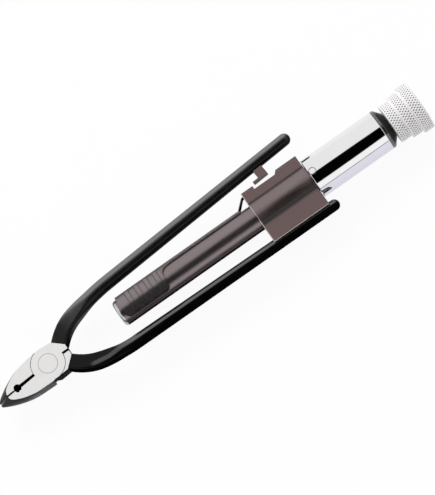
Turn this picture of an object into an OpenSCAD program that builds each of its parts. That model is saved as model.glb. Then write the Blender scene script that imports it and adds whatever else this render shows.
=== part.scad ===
// Safety wire pliers: lap-joint plier head, two handles, a lock for the handles and a pull twister.
// X runs from the jaws to the pull knob, Y towards the moving handle and Z out of the front face.
// The origin is the pivot's axis at the back face of the head. Millimetres.

/* [Head] */
// Thickness of the head between its two ground faces
head_t = 8; // [6:0.5:10]
// Distance from the pivot to the jaw tips
jaw_len = 29; // [24:0.5:36]
// Half width of the head beside the pivot
head_half_w = 8.3; // [8:0.1:10]
// Half width that the jaws' sides run towards at the tips
tip_half_w = 5.2; // [4:0.1:7]
// Radius of the round boss on which each half turns
boss_r = 8.1; // [7:0.1:9]
// Gap between a boss and the recess it turns in
boss_gap = 0.25; // [0.15:0.05:0.4]
// Gap between the two halves at the lap
lap_gap = 0.1; // [0.05:0.05:0.2]
// Tilt of the jaws' parting line from the barrel's axis, in degrees
head_tilt = 4.5; // [0:0.5:6]
// Angle that the handles close from rest to shut jaws, in degrees
close_angle = 1.9; // [1:0.1:3]
// Gap left between the shut jaw faces
face_gap = 0.06; // [0.02:0.02:0.2]

/* [Nose] */
// Radius of the blunt jaw tips
nose_r = 0.9; // [0.4:0.1:2]
// Radius of the arc that shapes the nose
nose_arc_r = 45; // [38:1:60]
// Slope of that arc at the tips, in degrees
nose_slope = 34.8; // [30:0.2:42]

/* [Jaw tools] */
// Radius of the round wire hole
wire_hole_r = 1.7; // [1:0.05:2.5]
// Distance from the pivot to the wire hole
wire_hole_x = 18; // [15:0.5:20]
// Width of the cutters' valley at the faces
valley_w = 1.15; // [0.6:0.05:2]
// Pitch of the grooves on the gripping faces
groove_pitch = 1; // [0.8:0.1:1.5]
// Side of the square that cuts each groove
groove_size = 0.35; // [0.2:0.05:0.5]

/* [Rivet] */
// Radius of the flush rivet heads
rivet_head_r = 4.6; // [4.2:0.1:5.5]
// Thickness of the rivet heads
rivet_head_t = 1.4; // [1:0.1:2]
// Radius of the rivet's shank
rivet_r = 3.6; // [3:0.1:4]
// Radial clearance of the moving half on the rivet
rivet_clear = 0.04; // [0.02:0.01:0.08]

/* [Handles] */
// Diameter of the handles at their necks
neck_d = 7.3; // [6.5:0.1:7.8]
// Height of the flat-sided part of the necks
neck_flat_h = 6.6; // [6:0.1:7.2]
// Diameter of the handle bars past their taper
bar_d = 6; // [5:0.1:7]
// Length of the taper from the neck to the bar
taper_len = 60; // [30:5:90]
// Radius of the tight bend at each neck
neck_bend_r = 27; // [25:1:30]
// Radius of the wide bend that follows on the moving handle
moving_bend_r = 98; // [80:2:110]
// Radius of the wide bend that follows on the fixed handle
fixed_bend_r = 68; // [60:2:90]
// Where both necks leave the head, along the tool
neck_x = 8.65; // [8:0.05:10]
// Where both necks leave the head, across the tool
neck_y = 5.1; // [4.8:0.1:5.6]
// Direction of the moving neck at rest, in degrees
moving_neck_dir = 47; // [45:0.5:49]
// Direction of the moving handle between its two bends, in degrees
moving_mid_dir = 18; // [16:0.5:20]
// Direction of the moving handle at rest, in degrees
moving_run_dir = 4; // [3.5:0.1:4.5]
// Direction of the fixed neck, in degrees
fixed_neck_dir = 45; // [43:0.5:47]
// Direction of the fixed handle between its two bends, in degrees
fixed_mid_dir = 17; // [15:0.5:19]
// Direction of the fixed handle, in degrees
fixed_run_dir = 0.45; // [0:0.05:1]
// End of the moving handle along the tool
moving_end_x = 151; // [140:0.2:160]
// End of the fixed handle along the tool
fixed_end_x = 152; // [150:0.5:165]

/* [Guide tube] */
// Height of the barrel's axis above the pivot
axis_y = 0.7; // [0:0.1:1.5]
// Front end of the guide tube
tube_x = 39.3; // [36:0.1:42]
// Outer radius of the guide tube
tube_r = 6.5; // [6.2:0.1:6.6]
// Wall of the guide tube
tube_wall = 0.8; // [0.6:0.1:1]
// Radius of the rounded edge on the tube's plug
plug_round = 1.6; // [1:0.1:2.4]
// Depth of the tube's plug inside the tube
plug_depth = 4; // [3:0.5:6]

/* [Bracket] */
// Front edge of the bracket along the tool
bracket_x = 117.1; // [114:0.1:118]
// Length of the bracket
bracket_len = 30.6; // [28:0.1:32]
// Thickness of the bracket's sheet
sheet_t = 1; // [0.8:0.05:1.2]
// Gap between the fixed handle and the bracket's plates
plate_gap = 0.1; // [0.05:0.05:0.3]
// Top of the bracket above the barrel's axis
bracket_top = 12.9; // [12.5:0.1:14]
// Thickness of the bracket's top web
web_t = 0.8; // [0.6:0.05:1]
// Bottom of the bracket's plates below the barrel's axis
bracket_drop = 15.6; // [15:0.1:17]
// Start of the opening for the latch hook
opening_x = 123.7; // [122:0.1:124]
// Length of the opening for the latch hook at its floor
opening_len = 11.4; // [10:0.1:12]
// Depth of the opening for the latch hook
opening_depth = 1.95; // [1.5:0.05:2.5]

/* [Handle lock] */
// Thickness of the latch hook's plate
hook_t = 2.4; // [1.6:0.1:3]
// Place of the hook's stem along the moving handle
hook_x = 130; // [128:0.1:131]
// Width of the hook's stem
hook_stem_w = 4.8; // [4:0.1:5.2]
// Length of the hook's foot past its stem
hook_foot_len = 3.2; // [2.5:0.1:3.5]
// Height of the hook's foot
hook_foot_h = 1.3; // [1:0.1:1.6]
// Distance from the handle's centre line to the bottom of the foot
hook_reach = 8.05; // [7.8:0.05:8.2]
// Front end of the lock slide's thumb pad
pad_x = 42.1; // [41:0.1:44]
// Length of the thumb pad
pad_len = 24.6; // [20:0.2:30]
// Thickness of the lock slide's sheet
slide_t = 1; // [0.8:0.05:1.2]
// Gap between the lock slide and the guide tube
slide_gap = 0.1; // [0.05:0.05:0.2]
// Lower edge of the thumb pad, degrees from the front
pad_low = -50; // [-60:1:-40]
// Upper edge of the thumb pad, degrees from the front
pad_high = 138; // [135:1:145]
// Half width of the slide's strip, degrees from the moving handle's side
strip_half = 40; // [25:1:45]
// End of the slide's strip along the tool
strip_end = 112; // [105:0.5:112]
// Width of the slide's tongue
tongue_w = 2.5; // [2:0.1:4]
// Thickness of the slide's tongue
tongue_t = 0.7; // [0.6:0.05:0.8]
// Tip of the tongue along the tool, with the lock open
tongue_tip = 123.3; // [122:0.1:123.5]
// Number of raised ribs on the thumb pad
ribs = 4; // [2:1:5]
// Width of each rib
rib_w = 2.3; // [1.5:0.1:3]
// Height of each rib
rib_h = 0.45; // [0.3:0.05:0.8]
// Pitch of the ribs
rib_pitch = 5.2; // [4:0.1:6]

/* [Barrel] */
// Front end of the barrel along the tool
barrel_x = 148.1; // [147.8:0.1:150]
// Length of the barrel
barrel_len = 38.9; // [37:0.1:45]
// Outer radius of the barrel
barrel_r = 10; // [9.7:0.1:12]
// Wall of the barrel
barrel_wall = 1.5; // [1.2:0.1:1.7]
// Width of the slots in the barrel's front end
slot_w = 1.84; // [1:0.02:3]
// Length of those slots
slot_len = 5; // [3:0.1:7]
// Radius of the pin that holds the barrel
pin_r = 1.5; // [1:0.1:1.6]
// Length of the bush that joins the barrel to the guide tube
bush_len = 7.4; // [6:0.2:8]

/* [Clutch] */
// Number of clutch rollers
rollers = 6; // [4:1:6]
// Radius of each roller
roller_r = 1.1; // [0.8:0.05:1.2]
// Length of each roller
roller_len = 12; // [8:0.5:15]
// Outer radius of the spiral nut
nut_r = 4.8; // [4.4:0.1:5]
// Length of the spiral nut
nut_len = 19; // [16:0.5:20]
// Thickness of each thrust washer
washer_t = 1; // [0.8:0.1:1.2]
// End play beside each thrust washer
end_play = 0.1; // [0.05:0.05:0.2]
// Gap between a roller and the nut
roller_gap = 0.03; // [0.02:0.01:0.06]
// Thickness of the retaining ring
ring_t = 1; // [0.8:0.1:1.2]

/* [Twister] */
// Radius over the lobes of the twist rod
rod_r = 3; // [2.6:0.1:3.2]
// Depth of the rod's spiral flutes
flute_depth = 0.8; // [0.5:0.05:1]
// Number of spiral flutes
flutes = 4; // [3:1:5]
// Travel of the knob for one turn of the rod
rod_lead = 30; // [24:1:40]
// Gap between the rod and the spiral nut
spiral_gap = 0.18; // [0.15:0.01:0.25]
// Gap between the rod and its bush
rod_gap = 0.1; // [0.05:0.01:0.15]
// Tail end of the rod along the tool
rod_tail_x = 46.5; // [45:0.5:50]
// Radius of the rod's tail journal
tail_r = 2; // [1.6:0.1:2.1]
// Length of the tail bush
tail_bush_len = 9; // [6:0.5:12]
// Running clearance of the tail bush, inside and outside
tail_clear = 0.05; // [0.02:0.01:0.08]

/* [End collar and knob] */
// Length of the collar's cone
collar_cone = 2.95; // [2.8:0.05:5]
// Length of the collar's straight edge
collar_edge = 1.4; // [1:0.1:2]
// Radius of the collar's small end
collar_end_r = 6.3; // [5.1:0.1:7]
// Length of the collar's spigot inside the barrel
spigot_len = 5; // [4:0.1:5.2]
// Wall of the rod's bush
rod_bush_wall = 1.5; // [1.2:0.1:1.8]
// Gap between the collar and the knob
knob_gap = 0.3; // [0.3:0.05:1]
// Radius of the knob's first band
band_r = 10.1; // [9:0.1:11]
// Rise from each band of the knob to the next
band_step = 1.25; // [0.8:0.05:1.5]
// Length of each band of the knob
band_len = 5.6; // [5:0.1:7]
// Depth of the grooves between the bands
band_groove = 0.4; // [0.2:0.1:0.6]
// Chamfer of the knob's ends
knob_chamfer = 1; // [0.5:0.1:1.5]
// Radius of the rod's shank in the knob
shank_r = 2.1; // [1.8:0.05:2.1]
// Radius of the knob's screw
screw_r = 1.2; // [1:0.1:1.4]
// Radius of the knob screw's head
screw_head_r = 3.5; // [3:0.1:4]

/* [Hidden] */
$fn = 96;
cut = 0.5;
half_t = head_t / 2;
bands = 3;
front_side = 180;

// Tilt of each half's jaw face, in a frame where its own handle points up
moving_tilt = head_tilt + close_angle / 2;
fixed_tilt = close_angle / 2 - head_tilt;
nose_centre = [nose_r - nose_arc_r * cos(nose_slope), nose_arc_r * sin(nose_slope) - jaw_len];
// The lower jaw's full thickness stops here, so that the boss shows beside the pivot
jaw_step_x = 2;
// Corners of the ground face where it meets the neck
root_top = [6.2, 7.6];
root_low = [11.4, 2.9];
crotch_gap = 0.2;
moving_dirs = [moving_neck_dir, moving_mid_dir, moving_run_dir];
fixed_dirs = [fixed_neck_dir, fixed_mid_dir, fixed_run_dir];
neck_overlap = 6;
neck_flat_sweep = 15;
neck_flat_w = neck_d - 0.3;
// Each straight run starts inside the bend, a hair thinner than it
run_lap = 1;
bend_lap = 0.8;
run_step = 0.05;

tube_bore = tube_r - tube_wall;
plate_in = bar_d / 2 + plate_gap;
plate_out = plate_in + sheet_t;
bulge_r = tube_r + sheet_t + 0.3;
web_low = bracket_top - web_t;
opening_slope = opening_depth * 0.85;

slide_in = tube_r + slide_gap;
slide_out = slide_in + slide_t;
// The strip is a little thinner than the pad it grows from
skin = 0.06;
tongue_top = web_low - slide_gap;
tongue_low = tongue_top - tongue_t;
pad_end = pad_x + pad_len;
rib_start = pad_x + 4.8;
rib_low = -35;
rib_high = 38;
strip_side = 90;

barrel_end = barrel_x + barrel_len;
barrel_bore = barrel_r - barrel_wall;
bush_x = barrel_x + 0.5;
bush_end = bush_x + bush_len;
pin_x = barrel_x + 1.8;
slot_sides = [-73, 48, 167];

washer_front_x = bush_end + end_play;
nut_x = washer_front_x + washer_t + end_play;
nut_end = nut_x + nut_len;
washer_rear_x = nut_end + end_play;
ring_x = washer_rear_x + washer_t;
washer_bore = rod_r + 0.4;
roller_orbit = nut_r + roller_r + roller_gap;
race_bore = roller_orbit + roller_r * 0.35;
pocket_r = roller_r + roller_gap;
roller_x = nut_x + (nut_len - roller_len) / 2;
ring_grip = 0.6;
spring_t = 0.2;

collar_end = barrel_end + collar_edge + collar_cone;
spigot_x = barrel_end - spigot_len;
rod_bush_bore = rod_r + rod_gap;
rod_bush_r = rod_bush_bore + rod_bush_wall;
rod_bush_x = ring_x + ring_t + end_play;
rod_bush_flange = 1;

knob_x = collar_end + knob_gap;
knob_end = knob_x + bands * band_len;
screw_head_h = 2;
screw_sink = 0.4;
screw_seat = knob_end - screw_head_h - screw_sink;
screw_len = 9;
shank_x = collar_end - 1;

tail_shoulder = 0.2;
clip_t = 0.8;
clip_x = rod_tail_x + 1;
clip_groove_r = tail_r - 0.5;
clip_r = tail_r + 1.6;
tail_bush_x = clip_x + clip_t + tail_shoulder;
spiral_x = tail_bush_x + tail_bush_len + tail_shoulder;
spiral_step = 15;
flute_points = 4 * flutes;

// Places: shapes are drawn about the middle of the head's thickness
module mid_plane() translate([0, 0, half_t]) children();

// Puts a shape on the barrel's axis, with its own Z along the tool
module on_axis(x = 0) translate([x, axis_y, half_t]) rotate([0, 90, 0]) children();

// Turns a shape on the barrel's axis to an angle from the front, counted towards the moving handle
module facing(angle) rotate([0, 0, front_side - angle]) children();

module ring(x, len, r_out, r_in) {
    on_axis(x) difference() {
        cylinder(r = r_out, h = len);
        translate([0, 0, -cut]) cylinder(r = r_in, h = len + 2 * cut);
    }
}

// Part of a sleeve on the barrel's axis, between two angles from the front
module sleeve_part(x, len, r_in, r_out, low, high) {
    on_axis(x) facing(high) rotate_extrude(angle = high - low) {
        translate([r_in, 0]) square([r_out - r_in, len]);
    }
}

// A solid of revolution on the barrel's axis, from points [radius, place along the tool]
module turned(points) on_axis() rotate_extrude() polygon(points);

// Plier halves, drawn with the handle up and the boss in front
// A handle's directions are [neck, middle, run], and wide_r is the radius of its second bend
function bend_centre(point, dir, r) = point + r * [sin(dir), -cos(dir)];
function on_bend(centre, dir, r) = centre + r * [-sin(dir), cos(dir)];
function neck_centre(dirs) = bend_centre([neck_x, neck_y], dirs[0], neck_bend_r);
function neck_end(dirs) = on_bend(neck_centre(dirs), dirs[1], neck_bend_r);
function wide_centre(dirs, wide_r) = bend_centre(neck_end(dirs), dirs[1], wide_r);
function run_start(dirs, wide_r) = on_bend(wide_centre(dirs, wide_r), dirs[2], wide_r);

module jaw_solid() {
    intersection() {
        linear_extrude(head_t, center = true) polygon([
            [-jaw_step_x, -face_gap / 2],
            [-jaw_len - cut, -face_gap / 2],
            [-jaw_len - cut, -tip_half_w],
            [-jaw_step_x, -head_half_w]]);
        rotate([0, 90, 0]) rotate_extrude() intersection() {
            translate(nose_centre) circle(r = nose_arc_r);
            translate([0, -jaw_len]) square([2 * head_half_w, jaw_len]);
        }
    }
}

// The V-shaped valley beside a cutting edge that lies at mid-thickness
module cutter_valley() {
    length = wire_hole_x - boss_r + boss_gap;
    translate([-wire_hole_x, 0, 0]) rotate([90, 0, 90]) linear_extrude(length) {
        polygon([[0, 0], [-valley_w / 2, half_t], [cut, half_t], [cut, -half_t], [-valley_w / 2, -half_t]]);
    }
}

module jaw(tilt) {
    groove_start = wire_hole_x + wire_hole_r + groove_pitch;
    rotate([0, 0, tilt]) difference() {
        jaw_solid();
        translate([-wire_hole_x, 0, -head_t]) cylinder(r = wire_hole_r, h = 2 * head_t);
        cutter_valley();
        for (x = [groove_start : groove_pitch : jaw_len - groove_pitch]) {
            translate([-x, -face_gap / 2, 0]) rotate([0, 0, 45])
                cube([groove_size, groove_size, 2 * head_t], center = true);
        }
    }
}

module root(tilt) {
    linear_extrude(head_t, center = true) difference() {
        polygon([[0, -cut], [0, boss_r], root_top, root_low, [root_low[0], -cut]]);
        rotate(tilt) translate([-head_t, -head_t + crotch_gap / 2]) square([4 * head_t, head_t]);
    }
}

module bend(centre, r, low, high, d) {
    translate(centre) rotate([0, 0, low + 90]) rotate_extrude(angle = high - low)
        translate([r, 0]) circle(d = d);
}

module handle(dirs, wide_r, end_x) {
    start = run_start(dirs, wide_r);
    run = dirs[2];
    length = (end_x - start[0]) / cos(run) - bar_d / 2;
    root_d = neck_d - 4 * run_step;
    bend(neck_centre(dirs), neck_bend_r, dirs[1], dirs[0] + neck_overlap, neck_d);
    bend(wide_centre(dirs, wide_r), wide_r, run, dirs[1] + bend_lap, neck_d - 2 * run_step);
    translate(neck_centre(dirs)) rotate([0, 0, dirs[0] + 90 - neck_flat_sweep])
        rotate_extrude(angle = neck_flat_sweep + neck_overlap)
            translate([neck_bend_r, 0]) square([neck_flat_w, neck_flat_h], center = true);
    translate(start) rotate([0, 0, run]) rotate([0, 90, 0]) rotate_extrude() {
        polygon([[0, -run_lap], [root_d / 2, -run_lap], [bar_d / 2, taper_len],
            [bar_d / 2, length], [0, length]]);
        intersection() {
            translate([0, length]) circle(d = bar_d);
            translate([0, length]) square(bar_d);
        }
    }
}

module rivet_shape(clear) {
    rotate_extrude() polygon([
        [0, -half_t], [rivet_head_r + clear, -half_t], [rivet_r + clear, rivet_head_t - half_t],
        [rivet_r + clear, half_t - rivet_head_t], [rivet_head_r + clear, half_t], [0, half_t]]);
}

module plier_half(tilt, crotch, dirs, wide_r, end_x, clear) {
    difference() {
        union() {
            difference() {
                union() {
                    jaw(tilt);
                    root(crotch);
                    handle(dirs, wide_r, end_x);
                }
                translate([0, 0, -head_t]) cylinder(r = boss_r + boss_gap, h = head_t + lap_gap / 2);
            }
            translate([0, 0, lap_gap / 2]) cylinder(r = boss_r, h = half_t - lap_gap / 2);
        }
        rivet_shape(clear);
    }
}

module fixed_half() color("#3a3a3c") mid_plane() rotate([180, 0, 0]) {
    plier_half(fixed_tilt, 0, fixed_dirs, fixed_bend_r, fixed_end_x, 0);
}

module moving_half() color("#3a3a3c") mid_plane() {
    plier_half(moving_tilt, close_angle, moving_dirs, moving_bend_r, moving_end_x, rivet_clear);
}

module pivot_rivet() color("#d5d5d5") mid_plane() rivet_shape(0);

// Handle lock
module latch_hook() color("#5b4a47") mid_plane() {
    start = run_start(moving_dirs, moving_bend_r);
    along = (hook_x - start[0]) / cos(moving_run_dir);
    left = -hook_stem_w / 2;
    translate(start) rotate([0, 0, moving_run_dir]) difference() {
        translate([along, 0, 0]) linear_extrude(hook_t, center = true) polygon([
            [left, 0], [left, hook_foot_h - hook_reach], [left - hook_foot_len, hook_foot_h - hook_reach],
            [left - hook_foot_len, -hook_reach], [-left, -hook_reach], [-left, 0]]);
        translate([along - hook_stem_w, 0, 0]) rotate([0, 90, 0]) cylinder(d = bar_d, h = 2 * hook_stem_w);
    }
}

module bracket_section() {
    difference() {
        union() {
            translate([-plate_out, -bracket_drop]) square([2 * plate_out, bracket_drop + bracket_top]);
            circle(r = bulge_r);
        }
        translate([-plate_in, -bracket_drop - cut]) square([2 * plate_in, bracket_drop + cut + web_low]);
        circle(r = tube_r);
    }
}

module bracket() color("#5b4a47") {
    floor_y = bracket_top - opening_depth;
    opening_end = opening_x + opening_len;
    difference() {
        on_axis(bracket_x) linear_extrude(bracket_len) bracket_section();
        translate([0, axis_y, half_t]) linear_extrude(3 * plate_out, center = true) polygon([
            [opening_x, floor_y], [opening_end, floor_y], [opening_end + opening_slope, bracket_top],
            [opening_end + opening_slope, bracket_top + cut], [opening_x, bracket_top + cut]]);
    }
}

module lock_slide() color("#574845") {
    root_low_y = slide_in + 2 * skin;
    root_high_y = slide_out - 4 * skin;
    rise = tongue_low - root_low_y;
    union() {
        sleeve_part(pad_x, pad_len, slide_in, slide_out, pad_low, pad_high);
        sleeve_part(pad_x + cut, strip_end - pad_x - cut, slide_in + skin, slide_out - skin,
            strip_side - strip_half, strip_side + strip_half);
        for (i = [0 : ribs - 1]) {
            sleeve_part(rib_start + i * rib_pitch, rib_w, slide_out - slide_t / 2, slide_out + rib_h,
                rib_low, rib_high);
        }
        translate([0, axis_y, half_t]) linear_extrude(tongue_w, center = true) polygon([
            [strip_end - slide_t, root_low_y], [strip_end, root_low_y], [strip_end + rise, tongue_low],
            [tongue_tip, tongue_low], [tongue_tip, tongue_top], [strip_end + rise - tongue_t / 2, tongue_top],
            [strip_end - tongue_t, root_high_y], [strip_end - slide_t, root_high_y]]);
    }
}

// Guide tube
module guide_tube() color("#5d5350")
    ring(tube_x + plug_round, bush_end - tube_x - plug_round, tube_r, tube_bore);

module tube_plug() color("#8d8a88") {
    on_axis() rotate_extrude() {
        translate([0, tube_x + plug_round]) square([tube_bore, plug_depth]);
        translate([0, tube_x]) square([tube_r - plug_round, plug_round]);
        intersection() {
            translate([tube_r - plug_round, tube_x + plug_round]) circle(r = plug_round);
            translate([tube_r - plug_round, tube_x]) square(plug_round);
        }
    }
}

// Barrel
module pin_bore(r) translate([pin_x, axis_y, half_t]) cylinder(r = r, h = barrel_r + cut);

module barrel() color("#e8e8ea") {
    difference() {
        ring(barrel_x, barrel_len, barrel_r, barrel_bore);
        ring(ring_x, ring_t, barrel_bore + ring_grip, barrel_bore - cut);
        pin_bore(pin_r);
        for (side = slot_sides) on_axis(barrel_x) facing(side) rotate([0, 90, 0]) {
            translate([-slot_len + slot_w / 2, 0, 0]) {
                cylinder(d = slot_w, h = barrel_r + cut);
                translate([0, -slot_w / 2, 0]) cube([slot_len, slot_w, barrel_r + cut]);
            }
        }
    }
}

module front_bush() color("#b5b5b5") {
    difference() {
        ring(bush_x, bush_len, barrel_bore, tube_r);
        pin_bore(pin_r);
    }
}

module barrel_pin() color("#d0d0d0") intersection() {
    pin_bore(pin_r);
    ring(barrel_x - slot_len, 3 * slot_len, barrel_r, tube_r);
}

// One-way clutch: rollers between a ramped race in the barrel and the spiral nut
module at_rollers() for (i = [0 : rollers - 1])
    rotate(i * 360 / rollers) translate([roller_orbit, 0]) children();

module clutch_ring() color("#9a9a9a") on_axis(nut_x) linear_extrude(nut_len) difference() {
    circle(r = barrel_bore);
    circle(r = race_bore);
    at_rollers() {
        circle(r = pocket_r);
        translate([0, -3 * roller_r]) square([pocket_r * 0.75, 3 * roller_r]);
    }
}

module clutch_rollers() color("#c8c8c8") on_axis(roller_x) {
    linear_extrude(roller_len) at_rollers() circle(r = roller_r);
}

module roller_springs() color("#b0b0b0") on_axis(roller_x) linear_extrude(roller_len) at_rollers() {
    translate([0, -roller_r - 2 * spring_t]) square([roller_r * 0.6, spring_t]);
    translate([0, -3 * roller_r + spring_t]) square([spring_t, 2 * roller_r - 3 * spring_t]);
    translate([0, -3 * roller_r + spring_t]) square([roller_r * 0.6, spring_t]);
}

function flute_outline(gap) = [for (i = [0 : flute_points - 1])
    let (a = i * 360 / flute_points, r = rod_r - flute_depth / 2 * (1 - cos(flutes * a)) + gap)
    r * [cos(a), sin(a)]];

// The spiral is one screw along the tool, so the rod and the nut cut from it stay in mesh
module spiral(x, len, gap) {
    turn = 360 * len / rod_lead;
    on_axis(x) rotate(360 * x / rod_lead) {
        linear_extrude(len, twist = -turn, slices = ceil(turn / spiral_step), $fn = flute_points)
            polygon(flute_outline(gap));
    }
}

module spiral_nut() color("#b08d57") difference() {
    on_axis(nut_x) cylinder(r = nut_r, h = nut_len);
    spiral(nut_x - cut, nut_len + 2 * cut, spiral_gap);
}

module thrust_washers() color("#b08d57") {
    ring(washer_front_x, washer_t, barrel_bore - end_play, washer_bore);
    ring(washer_rear_x, washer_t, barrel_bore - end_play, washer_bore);
}

module retaining_ring() color("#4a4a4a") on_axis(ring_x) linear_extrude(ring_t) difference() {
    circle(r = barrel_bore + ring_grip);
    circle(r = barrel_bore - 2 * ring_grip);
    translate([0, -ring_grip]) square([2 * barrel_r, 2 * ring_grip]);
}

// End collar and bush
module end_collar() color("#1c1c1e") turned([
    [rod_bush_r, spigot_x], [barrel_bore, spigot_x], [barrel_bore, barrel_end], [barrel_r, barrel_end],
    [barrel_r, barrel_end + collar_edge], [collar_end_r, collar_end], [rod_bush_r, collar_end]]);

module rod_bush() color("#b08d57") turned([
    [rod_bush_bore, rod_bush_x], [rod_bush_r + rod_bush_flange, rod_bush_x],
    [rod_bush_r + rod_bush_flange, spigot_x], [rod_bush_r, spigot_x],
    [rod_bush_r, collar_end], [rod_bush_bore, collar_end]]);

// Twist rod and what it carries
module twist_rod() color("#c4c4c6") difference() {
    union() {
        spiral(spiral_x, shank_x - spiral_x, 0);
        on_axis(rod_tail_x) cylinder(r = tail_r, h = spiral_x - rod_tail_x + cut);
        on_axis(shank_x - cut) cylinder(r = shank_r, h = screw_seat - screw_head_h - shank_x + cut);
    }
    ring(clip_x, clip_t, clip_r, clip_groove_r);
    on_axis(screw_seat - screw_len) cylinder(r = screw_r, h = screw_len);
}

module tail_bush() color("#b08d57")
    ring(tail_bush_x, tail_bush_len, tube_bore - tail_clear, tail_r + tail_clear);

module tail_clip() color("#4a4a4a") on_axis(clip_x) linear_extrude(clip_t) difference() {
    circle(r = clip_r);
    circle(r = clip_groove_r);
    translate([0, -clip_groove_r * 0.85]) square([2 * clip_r, 1.7 * clip_groove_r]);
}

function band_top(i) = band_r + i * band_step;

module pull_knob() color("#dedee0") turned(concat(
    [[shank_r, knob_x], [band_r - knob_chamfer, knob_x], [band_r, knob_x + knob_chamfer]],
    [for (i = [1 : bands - 1], p = [
        [band_top(i - 1), knob_x + i * band_len - 2 * band_groove],
        [band_top(i - 1) - band_groove, knob_x + i * band_len - band_groove],
        [band_top(i - 1) - band_groove, knob_x + i * band_len],
        [band_top(i), knob_x + i * band_len + band_groove]]) p],
    [[band_top(bands - 1), knob_end - knob_chamfer], [band_top(bands - 1) - knob_chamfer, knob_end],
    [screw_head_r + rod_gap, knob_end], [screw_head_r + rod_gap, screw_seat],
    [screw_r, screw_seat], [screw_r, screw_seat - screw_head_h], [shank_r, screw_seat - screw_head_h]]));

module knob_screw() color("#8a8a8c") difference() {
    union() {
        on_axis(screw_seat) cylinder(r = screw_head_r, h = screw_head_h);
        on_axis(screw_seat - screw_len) cylinder(r = screw_r, h = screw_len + cut);
    }
    on_axis(screw_seat + screw_head_h) cube([screw_r / 2, 3 * screw_head_r, screw_head_h], center = true);
}

fixed_half();
pivot_rivet();
moving_half();
latch_hook();
bracket();
guide_tube();
tube_plug();
lock_slide();
front_bush();
barrel();
barrel_pin();
clutch_ring();
clutch_rollers();
roller_springs();
spiral_nut();
thrust_washers();
retaining_ring();
end_collar();
rod_bush();
twist_rod();
tail_bush();
tail_clip();
pull_knob();
knob_screw();
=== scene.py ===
import math

import bmesh
import bpy
from mathutils import Matrix, Vector


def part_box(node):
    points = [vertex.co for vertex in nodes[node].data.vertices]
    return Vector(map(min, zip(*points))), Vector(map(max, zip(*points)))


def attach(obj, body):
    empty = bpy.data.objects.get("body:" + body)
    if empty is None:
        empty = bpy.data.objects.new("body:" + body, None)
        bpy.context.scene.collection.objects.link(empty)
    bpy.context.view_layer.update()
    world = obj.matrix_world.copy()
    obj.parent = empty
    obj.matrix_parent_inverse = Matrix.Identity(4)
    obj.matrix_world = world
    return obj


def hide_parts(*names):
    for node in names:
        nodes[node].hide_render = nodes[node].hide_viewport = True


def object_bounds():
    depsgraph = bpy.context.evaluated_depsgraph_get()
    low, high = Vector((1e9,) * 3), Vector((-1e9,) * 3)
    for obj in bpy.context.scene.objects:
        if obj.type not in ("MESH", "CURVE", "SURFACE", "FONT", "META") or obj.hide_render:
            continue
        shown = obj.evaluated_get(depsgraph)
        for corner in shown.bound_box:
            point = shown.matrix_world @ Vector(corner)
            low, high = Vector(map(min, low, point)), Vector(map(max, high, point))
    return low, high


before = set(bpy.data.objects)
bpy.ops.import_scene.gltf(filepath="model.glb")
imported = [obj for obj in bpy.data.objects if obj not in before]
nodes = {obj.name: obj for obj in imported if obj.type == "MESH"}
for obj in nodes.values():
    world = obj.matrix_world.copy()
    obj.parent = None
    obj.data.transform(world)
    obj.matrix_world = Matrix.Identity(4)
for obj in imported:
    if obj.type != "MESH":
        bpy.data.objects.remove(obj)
cad_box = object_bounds()

# Units: one millimetre in the frame's metres
MM = 0.001

# Places taken from the frame
AXIS_Y = sum(v[1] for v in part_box("barrel")) / 2
AXIS_Z = sum(v[2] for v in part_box("barrel")) / 2
HEAD_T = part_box("fixed_half")[1].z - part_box("fixed_half")[0].z
HEAD_BACK = AXIS_Z - HEAD_T / 2
FIXED_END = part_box("fixed_half")[1].x
MOVING_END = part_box("moving_half")[1].x
BARREL = [v.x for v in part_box("barrel")]
BARREL_R = (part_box("barrel")[1].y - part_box("barrel")[0].y) / 2
TUBE_R = (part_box("guide_tube")[1].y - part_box("guide_tube")[0].y) / 2
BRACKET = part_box("bracket")
COLLAR_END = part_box("end_collar")[1].x
KNOB = [v.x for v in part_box("pull_knob")]
KNOB_R = (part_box("pull_knob")[1].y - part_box("pull_knob")[0].y) / 2
RIVET_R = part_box("pivot_rivet")[1].x
PAD_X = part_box("lock_slide")[0].x
TONGUE_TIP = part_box("lock_slide")[1].x

# Handles, as in the CAD model: the neck's start and width, the directions in degrees and the bends
NECK = Vector((8.65, 5.1)) * MM
NECK_D = 7.3 * MM
BEND_R = 27 * MM
MOVING_DIRS, MOVING_BEND_R = (47, 18, 4), 98 * MM
FIXED_DIRS, FIXED_BEND_R = (45, 17, 0.45), 68 * MM

# Handles, measured in the photograph: diameter after the bends, diameter at the end, length of the taper
FIXED_BAR = (6.7 * MM, 5.4 * MM, 112 * MM)
MOVING_BAR = (7.05 * MM, 6.0 * MM, 105 * MM)

# Handle necks: flat-sided up to one distance and round from another, a little off the centre line at first
NECK_W = NECK_D + 0.4 * MM
NECK_T = HEAD_T - 0.7 * MM
FLAT_END, ROUND_START = 10 * MM, 27 * MM
FLAT_POWER, ROUND_POWER = 6.5, 2.0
NECK_SHIFT, SHIFT_END = 0.35 * MM, 16 * MM

# Handle ends: the lip at the neck, the stretch with close rings at the far end, and the last ring's scale
LIP, LIP_SCALE = 0.5 * MM, 0.93
END_CAP = 3 * MM
LEAST_RING = 0.02

# Head, as in the CAD model: tilt of the parting line, half the jaws' angle at rest, boss and wire hole
JAW_TILT = math.radians(4.5)
HALF_OPEN = math.radians(0.95)
BOSS_R = 8.1 * MM
WIRE_HOLE_X, WIRE_HOLE_R = 18 * MM, 1.7 * MM

# Head, measured in the photograph: where the ground faces end in front, and the dark notch behind the boss
FACE_END, FACE_END_R = 23.8 * MM, 4.2 * MM
NOTCH_W = 1.2 * MM

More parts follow.
